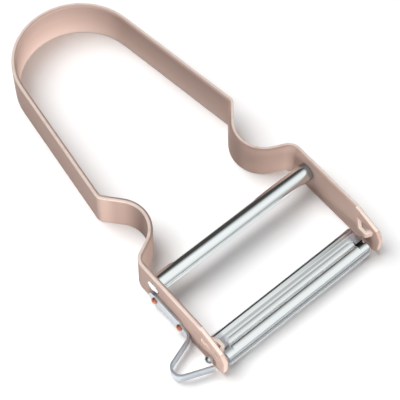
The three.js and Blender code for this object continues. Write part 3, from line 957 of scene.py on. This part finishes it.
bend_low = PLATE_TOP - REAR_BEND
outer_levels = [(FOOT_ROUND, FLANGE_LOW), (0, FLANGE_LOW + FOOT_ROUND)] + fillet(0, bend_low, REAR_BEND)
blade = stacked("blade", plate_outline(PLATE_FRONT), outer_levels)
foot_inset = SHEET - 2 * FOOT_ROUND
inner_levels = [(foot_inset, FLANGE_LOW - PAST), (foot_inset, FLANGE_LOW - FOOT_ROUND)]
inner_levels += [(SHEET, FLANGE_LOW + FOOT_ROUND)] + fillet(SHEET, bend_low, REAR_BEND - SHEET)
cut(blade, stacked("hollow", plate_outline(HOLLOW_FRONT), inner_levels))
for side in SIDES:
    across = span(side, BLADE_END - NOTCH_LENGTH, BLADE_END + PAST)
    height = (FLANGE_LOW - PAST, PLATE_TOP - SHEET)
    cut(blade, block("notch", across, (HOLLOW_FRONT, NOTCH_BACK), height))
tell("plate formed", blade)

# %% [markdown]
# The face of the plate falls a little from the rear bend, lies flat, and then rolls over in the ground
# bevel. Its brightness depends on slopes of one or two degrees, so they are written as points of a
# profile, (y, height over the pivot), and planed off: one profile over the whole length, and one with the
# bevel between the eyes.

# %% Blade: face and edge
EDGE = -0.5
EDGE_LOW = (EDGE, 0.4)
FACE = 1.269
PLANE_FRONT = -6.0
PLANE_HIGH = 4.0
fall = [(3.42, 1.46), (3.36, 1.45), (3.28, 1.44), (3.1, 1.412), (2.8, 1.36), (2.5, 1.305)]
fall += [(2.36, 1.276), (2.28, 1.27), (2.2, 1.2695), (EDGE, FACE), EDGE_LOW]
bevel = [(2.28, 1.29), (2.28, 1.27), (1.42, FACE), (0.62, 1.224), (0.44, 1.219), (0.27, 1.205)]
bevel += [(0.1, 1.174), (-0.1, 1.127), (-0.3, 1.073), (-0.4, 1.01), (-0.46, 0.93), (EDGE, 0.82), EDGE_LOW]


def plane(piece, profile, reach):
    over = [(PLANE_FRONT, profile[-1][1]), (PLANE_FRONT, PLANE_HIGH), (profile[0][0], PLANE_HIGH)]
    outline = [(y, PIVOT_HEIGHT + up) for y, up in profile + over]
    cut(piece, prism("planing", outline, -reach, reach))


plane(blade, fall, FAR)
plane(blade, bevel, EYE_START)
tell("face ground", blade)

# %% [markdown]
# A shallow groove is pressed along the face, just behind the bevel, and a short slit at each end parts the
# cutting edge from the eye. The groove is a long outline with round ends, stacked in levels that grow as
# they rise. A bump in the finish could hint at it, but would be missing from the mesh.

# %% Blade: groove and slits
GROOVE_BACK = 0.97
GROOVE_REACH = BLADE_END - 3.9
GROOVE_HALF = 0.45
GROOVE_LEVELS = ((0.26, -0.04), (0.2, -0.032), (0.06, -0.01), (0.0, 0.0), (-0.1, 0.5))
SLIT_HALF = 0.14
SLIT_BACK = (-1.0, 0.9)
SLIT_HEIGHT = (FLANGE_LOW - PAST, PLATE_TOP + PAST)
groove_outline = []
for side in SIDES:
    centre, start = Vector((side * GROOVE_REACH, GROOVE_BACK)), -side * QUARTER
    groove_end = arc_run(centre, GROOVE_HALF, start, start + math.pi)
    groove_outline += [(point, -left) for point, left in groove_end]
groove_levels = [(inset, PIVOT_HEIGHT + FACE + up) for inset, up in GROOVE_LEVELS]
cut(blade, stacked("groove", groove_outline, groove_levels))
for side in SIDES:
    across = span(side, EYE_START - SLIT_HALF, EYE_START + SLIT_HALF)
    cut(blade, block("slit", across, SLIT_BACK, SLIT_HEIGHT))
tell("groove pressed", blade)

# %% [markdown]
# The front sheet is a section carried straight along the blade: a broad crest that starts at the slot, a
# bend into the front flange and a small flare at its foot. Its cut edges are rounded, because a sharp sheet
# edge would not catch the thin light line that shows along the foot.

# %% Blade: front sheet
SHEET_ROUND = 0.2
EDGE_STEPS = 6
SLOT_EDGE = (-1.24, 1.38, -8)
CREST = (3.25, 37)
FRONT_BEND = (0.75, 66)
FRONT_FLANGE = (1.3,)
FOOT_BEND = (0.35, -50)
FLARE = (0.6,)


def slope_run(start, pieces):
    """A run of arcs, (radius, degrees), and straights, (length,), from (y, height, degrees from up)."""
    point, angle = Vector(start[:2]), math.radians(start[2])
    run = []
    for made in pieces:
        radius, turn = (None, 0.0) if len(made) == 1 else (made[0], math.radians(made[1]))
        steps = 1 if radius is None else max(3, math.ceil(abs(turn) / ARC_STEP))
        for i in range(steps + 1):
            here = angle + turn * i / steps
            outward = Vector((-math.sin(here), math.cos(here)))
            if radius is None:
                ahead = Vector((-math.cos(here), -math.sin(here)))
                spot = point + ahead * (made[0] * i)
            else:
                first = Vector((-math.sin(angle), math.cos(angle)))
                bulge = radius if turn > 0 else -radius
                spot = point - first * bulge + outward * bulge
            run.append((spot, outward))
        point, angle = run[-1][0].copy(), angle + turn
    return run


def sheet_section(run, thickness):
    """The closed outline of a sheet below its run, with round cut edges."""
    outline = []
    for way, side in ((1, run), (-1, run[::-1])):
        outline += [point - outward * (thickness if way < 0 else 0.0) for point, outward in side]
        point, outward = side[-1]
        middle = point - outward * (thickness / 2)
        ahead = Vector((-outward.y, outward.x)) * (way * SHEET_ROUND)
        across = outward * (way * thickness / 2)
        turns = fan(math.pi, EDGE_STEPS)[1:-1]
        outline += [middle + across * math.cos(turn) + ahead * math.sin(turn) for turn in turns]
    return [(point.x, PIVOT_HEIGHT + point.y) for point in outline]


front_run = slope_run(SLOT_EDGE, [CREST, FRONT_BEND, FRONT_FLANGE, FOOT_BEND, FLARE])
front = prism("front", sheet_section(front_run, SHEET), -BLADE_END, BLADE_END)
print("front sheet", len(front_run), "points along its face")

# %% [markdown]
# At each end the sheet is rolled into an eye for the pin, and a web ties the eye to the front flange. The
# rolled seam would be hidden in the pocket, so the eye is a plain barrel. It is bored last, after all the
# sheets are joined, so that nothing is left standing in the bore.

# %% Blade: rolled eyes and webs
EYE_RADIUS = 0.85
EYE_BORE = NECK_RADIUS + SEAT_GAP
HOLE_BACK = (-1.7, 1.0)
HOLE_HEIGHT = (PIVOT_HEIGHT - PAST, PLATE_TOP + PAST)
HOLE_PAST = 0.01
WEB_BACK = (-3.35, -0.5)
WEB_HEIGHT = (PIVOT_HEIGHT - 0.25, PIVOT_HEIGHT + 0.3)
WEB_INSET = 0.05
for side in SIDES:
    across = span(side, EYE_START - HOLE_PAST, BLADE_END + HOLE_PAST)
    cut(front, block("hole", across, HOLE_BACK, HOLE_HEIGHT))
    barrel = circle(0, PIVOT_HEIGHT, EYE_RADIUS)
    join(blade, prism("eye", barrel, *span(side, EYE_START, BLADE_END)))
join(blade, front)
for side in SIDES:
    across = span(side, EYE_START + WEB_INSET, BLADE_END - WEB_INSET)
    join(blade, block("web", across, WEB_BACK, WEB_HEIGHT))
    drill(blade, 0, PIVOT_HEIGHT, EYE_BORE, *span(side, EYE_START - PAST, FAR))
hand_over(blade, "peeling_blade", "blade", blade_steel)

# %% [markdown]
# The eye remover is a narrow spring strip riveted to the left leg, bent out, round a tight turn and back to
# the leg. Its foot under the rivets is wider and has a round end. One extruded section could not change its
# width, so each ring along the run gets its own lower and upper height.

# %% Eye remover: the line and its heights
REMOVER_SHEET = 0.7
REMOVER_MIDDLE = LEG_OUTER + SEAT_GAP + REMOVER_SHEET / 2
REMOVER_REACH = LEG_OUTER + 10.4
REMOVER_LOW = 1.1
REMOVER_PLATE = 4.8
REMOVER_STRIP = 3.2
REMOVER_BEND_BACK = 7.8
REMOVER_BEND_RADIUS = 2.2
REMOVER_LOOP_BACK = 2.9
REMOVER_LOOP_RADIUS = 2.5
REMOVER_TIP = Vector((-LEG_OUTER - 0.9, -2.5))
NECK_FRONT = 10.0
NECK_BACK = 12.4
LEAST_HALF = 0.2


def remover_line():
    """The run, and how many of its points lie on the straight foot."""
    rear = RIVET_BACKS["rear"]
    bend = Vector((-REMOVER_MIDDLE, REMOVER_BEND_BACK))
    loop = Vector((REMOVER_LOOP_RADIUS + REMOVER_SHEET / 2 - REMOVER_REACH, REMOVER_LOOP_BACK))
    outward = touch_point(bend, loop, REMOVER_LOOP_RADIUS, 1)
    homeward = touch_point(REMOVER_TIP, loop, REMOVER_LOOP_RADIUS, -1)
    loop_turn = [heading_angle(point - loop) for point in (outward, homeward)]
    backs = [rear + REMOVER_PLATE / 2 * math.cos(a) for a in fan(QUARTER, 12)]
    backs += [NECK_BACK + rise for rise in reversed(fan(rear - NECK_BACK, 6)[:-1])]
    backs += [NECK_FRONT + rise for rise in reversed(fan(NECK_BACK - NECK_FRONT, 10)[:-1])]
    run = [(Vector((-REMOVER_MIDDLE, back)), Vector((1, 0))) for back in backs]
    run += bend_run(Vector((-REMOVER_MIDDLE, rear)), bend, outward, REMOVER_BEND_RADIUS)[1:]
    run += arc_run(loop, REMOVER_LOOP_RADIUS, *loop_turn)
    return run + end_run(REMOVER_TIP, homeward, REMOVER_TIP), len(backs)


def remover_heights(back, on_foot):
    low, high = REMOVER_LOW, REMOVER_LOW + REMOVER_STRIP
    if not on_foot:
        return low, high
    rise = min(max((back - NECK_FRONT) / (NECK_BACK - NECK_FRONT), 0), 1)
    high += (REMOVER_PLATE - REMOVER_STRIP) * rise * rise * (3 - 2 * rise)
    beyond = max(back - RIVET_BACKS["rear"], 0)
    half = math.sqrt(max((REMOVER_PLATE / 2) ** 2 - beyond**2, LEAST_HALF**2))
    middle = (low + high) / 2
    return (max(low, middle - half), min(high, middle + half)) if beyond else (low, high)


remover_run, foot_points = remover_line()
print("remover strip", round(lengths(remover_run)[-1], 1), "mm long,", foot_points, "points on its foot")

# %% [markdown]
# The rounded section is set at every point of the line and skinned, and the foot is drilled with the leg's
# own drills, so that the rivets pass through both.

# %% Eye remover
REMOVER_ARRIS = 0.14
rings = []
for index, (point, left) in enumerate(remover_run):
    low, high = remover_heights(point.y, index < foot_points)
    section = rounded_section(REMOVER_SHEET / 2, low, high, REMOVER_ARRIS, steps=3)
    rings.append([(*(point + left * across), z) for across, z in section])
remover = skin("remover", rings, lengths(remover_run))
drill_for_rivets(remover)
hand_over(remover, "eye_remover", "frame", remover_steel)

# %% [markdown]
# Two copper rivets hold the remover. Each has a round head outside and a low closed tail inside the leg.
# They are turned like the pins, from the tail outwards.

# %% Rivets
RIVET_HEAD = 0.95
HEAD_HEIGHT = 0.85
HEAD_ARRIS = 0.06
HEAD_WALL = 0.1
HEAD_FACE = LEG_OUTER + 2 * SEAT_GAP + REMOVER_SHEET
HEAD_TOP = HEAD_FACE + HEAD_HEIGHT
HEAD_STEPS = 10
TAIL_FACE = LEG_INNER - SEAT_GAP
TAIL = (
    (-0.4, 0), (-0.4, RIVET_RADIUS - 0.1), (-0.3, RIVET_RADIUS + 0.1),
    (-0.05, RIVET_HEAD - 0.05), (0, RIVET_HEAD), (0, RIVET_RADIUS),
)
rivet_profile = [(TAIL_FACE + step, radius) for step, radius in TAIL]
rivet_profile += [(HEAD_FACE, RIVET_RADIUS), (HEAD_FACE, RIVET_HEAD - HEAD_ARRIS)]
rivet_profile += [(HEAD_FACE + HEAD_ARRIS, RIVET_HEAD)]
rivet_profile += round_off((HEAD_FACE + HEAD_WALL, RIVET_HEAD), (HEAD_TOP, 0.0), HEAD_STEPS)[:-1]
rivet_profile += [(HEAD_TOP, 0)]
for word, back in RIVET_BACKS.items():
    rivet = turned("rivet_" + word, rivet_profile, back, RIVET_HEIGHT, -1)
    hand_over(rivet, word + "_rivet", "frame", copper)

# %% [markdown]
# The peeler lies on a plain white table. To the camera and in mirrors the table is white. To the light that
# bounces off it, it is grey, because a large white table would fill the strap's shaded sides with more
# light than the picture shows.

# %% Table
TABLE_HALF = 3.0
TABLE_HEIGHT = -0.0001
TABLE_CORNERS = ((-1, -1), (1, -1), (1, 1), (-1, 1))
TABLE_PALE = (*even(0.97), 1)
TABLE_WHITE = (*even(0.985), 1)
BOUNCE_GREY = (*even(0.38), 1)


def table_surface(bench):
    paper = bench.noise(bench.spot(), even(0.05), detail=2.0)
    rays = bench.outputs("ShaderNodeLightPath")
    seen = rays["Is Camera Ray"] + rays["Is Glossy Ray"] + rays["Is Transmission Ray"]
    return {
        "Base Color": bench.blend(seen, BOUNCE_GREY, bench.blend(paper, TABLE_PALE, TABLE_WHITE)),
        "Roughness": 0.9,
        "Specular IOR Level": 0.0,
    }


sheet = bmesh.new()
corners = [(x * TABLE_HALF, y * TABLE_HALF, TABLE_HEIGHT) for x, y in TABLE_CORNERS]
sheet.faces.new([sheet.verts.new(corner) for corner in corners])
table = finished_mesh("table", sheet)
table.data.materials.append(finish("table_white", table_surface))

# %% [markdown]
# A broad sun from behind and to the left throws the soft shadow. A low fill from the front, without a
# shadow, reaches the upright sides that face the camera, as a white card before the tool would. A small
# lamp at the left lifts the left leg and the remover. None of them shows in mirrors, which are the
# world's work.

# %% Lamps
BROAD_SUN = {"angle": math.radians(50)}
LOW_FILL = {"angle": math.radians(10), "use_shadow": False}
SMALL_LAMP = {"size": 30 * MM}
LAMP_PLACE = place(-80, -50, 5)
LEFT_LEG = place(-27, 12, 6)


def lamp(name, kind, settings, energy, towards):
    """A lamp that shines from the direction given."""
    data = bpy.data.lights.new(name, kind)
    data.energy = energy
    for word, value in settings.items():
        setattr(data, word, value)
    made = new_object(name, data)
    made.rotation_euler = Vector(towards).to_track_quat("Z", "Y").to_euler()
    made.visible_glossy = False
    print(name, energy, "from", [round(v, 3) for v in towards])
    return made


lamp("soft_sun", "SUN", BROAD_SUN, energy=3.38, towards=(-0.2, 0.47, 1.0))
lamp("low_fill", "SUN", LOW_FILL, energy=3.6, towards=(0.03, -1.0, 0.045))
side_lamp = lamp("side_lamp", "AREA", SMALL_LAMP, energy=0.075, towards=LAMP_PLACE - LEFT_LEG)
side_lamp.location = LAMP_PLACE

# %% [markdown]
# Polished metal is drawn by what it mirrors. So in mirrors the world is a studio: a large pale light
# overhead, tipped to the front, dimmer walls in front and a dark one behind. An image of a studio would do
# too, but would be one more file. To the camera the world is plain white, and to the rest it gives only a
# trace of light, so that the lamps keep their shadow.

# %% Studio world
WHITE = (1, 1, 1, 1)
OVERHEAD_TOWARDS = (0.0, -0.4226, 0.9063)
OVERHEAD_EDGE = (0.45, 0.95)
WALLS = (0.45, -0.45, 0.06, 0.34)
AMBIENT = 0.02
world = bpy.data.worlds.new("studio")
bpy.context.scene.world = world
world.use_nodes = True
bench = Bench(world.node_tree)
direction = bench.node("ShaderNodeTexCoord", {}, {}, "Generated")
_, depth, _ = bench.parts(direction)
tipped = {0: direction, 1: OVERHEAD_TOWARDS}
facing = bench.node("ShaderNodeVectorMath", {"operation": "DOT_PRODUCT"}, tipped, 1)
walls = bench.ease(depth, *WALLS)
studio = walls + (1 - walls) * bench.ease(facing, *OVERHEAD_EDGE)
backgrounds = [
    bench.node("ShaderNodeBackground", {}, {"Color": WHITE, "Strength": strength})
    for strength in (AMBIENT, studio, 1.0)
]
rays = bench.outputs("ShaderNodeLightPath")
shown = backgrounds[0]
for word, background in zip(("Is Glossy Ray", "Is Camera Ray"), backgrounds[1:]):
    shown = bench.node("ShaderNodeMixShader", {}, {0: rays[word], 1: shown, 2: background})
bench.node("ShaderNodeOutputWorld", {}, {"Surface": shown})
bpy.context.scene.view_settings.view_transform = "Standard"
print("world", len(world.node_tree.nodes), "nodes")

# %% [markdown]
# The camera looks down over the left leg, with a long lens and a slight roll. Its place was found by laying
# the solids' edges over the picture until they agreed to about a pixel. Its axes are worked out from those
# angles, because a tracking constraint has no roll.

# %% Camera
AZIMUTH, ELEVATION, ROLL = (math.radians(angle) for angle in (-41.21, 61.513, 0.883))
DISTANCE = 411.6
AIM = place(1.15, 37.82, 0)
LENS, SENSOR = 137.53, 36
flat = math.cos(ELEVATION)
back = Vector((math.sin(AZIMUTH) * flat, -math.cos(AZIMUTH) * flat, math.sin(ELEVATION)))
level_right = Vector((0, 0, 1)).cross(back).normalized()
level_up = back.cross(level_right)
right = math.cos(ROLL) * level_right + math.sin(ROLL) * level_up
up = -math.sin(ROLL) * level_right + math.cos(ROLL) * level_up
camera_data = bpy.data.cameras.new("camera")
camera_data.sensor_width = SENSOR
camera_data.lens = LENS
camera = new_object("camera", camera_data)
axes = Matrix((right, up, back)).transposed().to_4x4()
camera.matrix_world = Matrix.Translation(AIM + back * DISTANCE * MM) @ axes
bpy.context.scene.camera = camera
print("camera at", [round(v, 4) for v in camera.location])
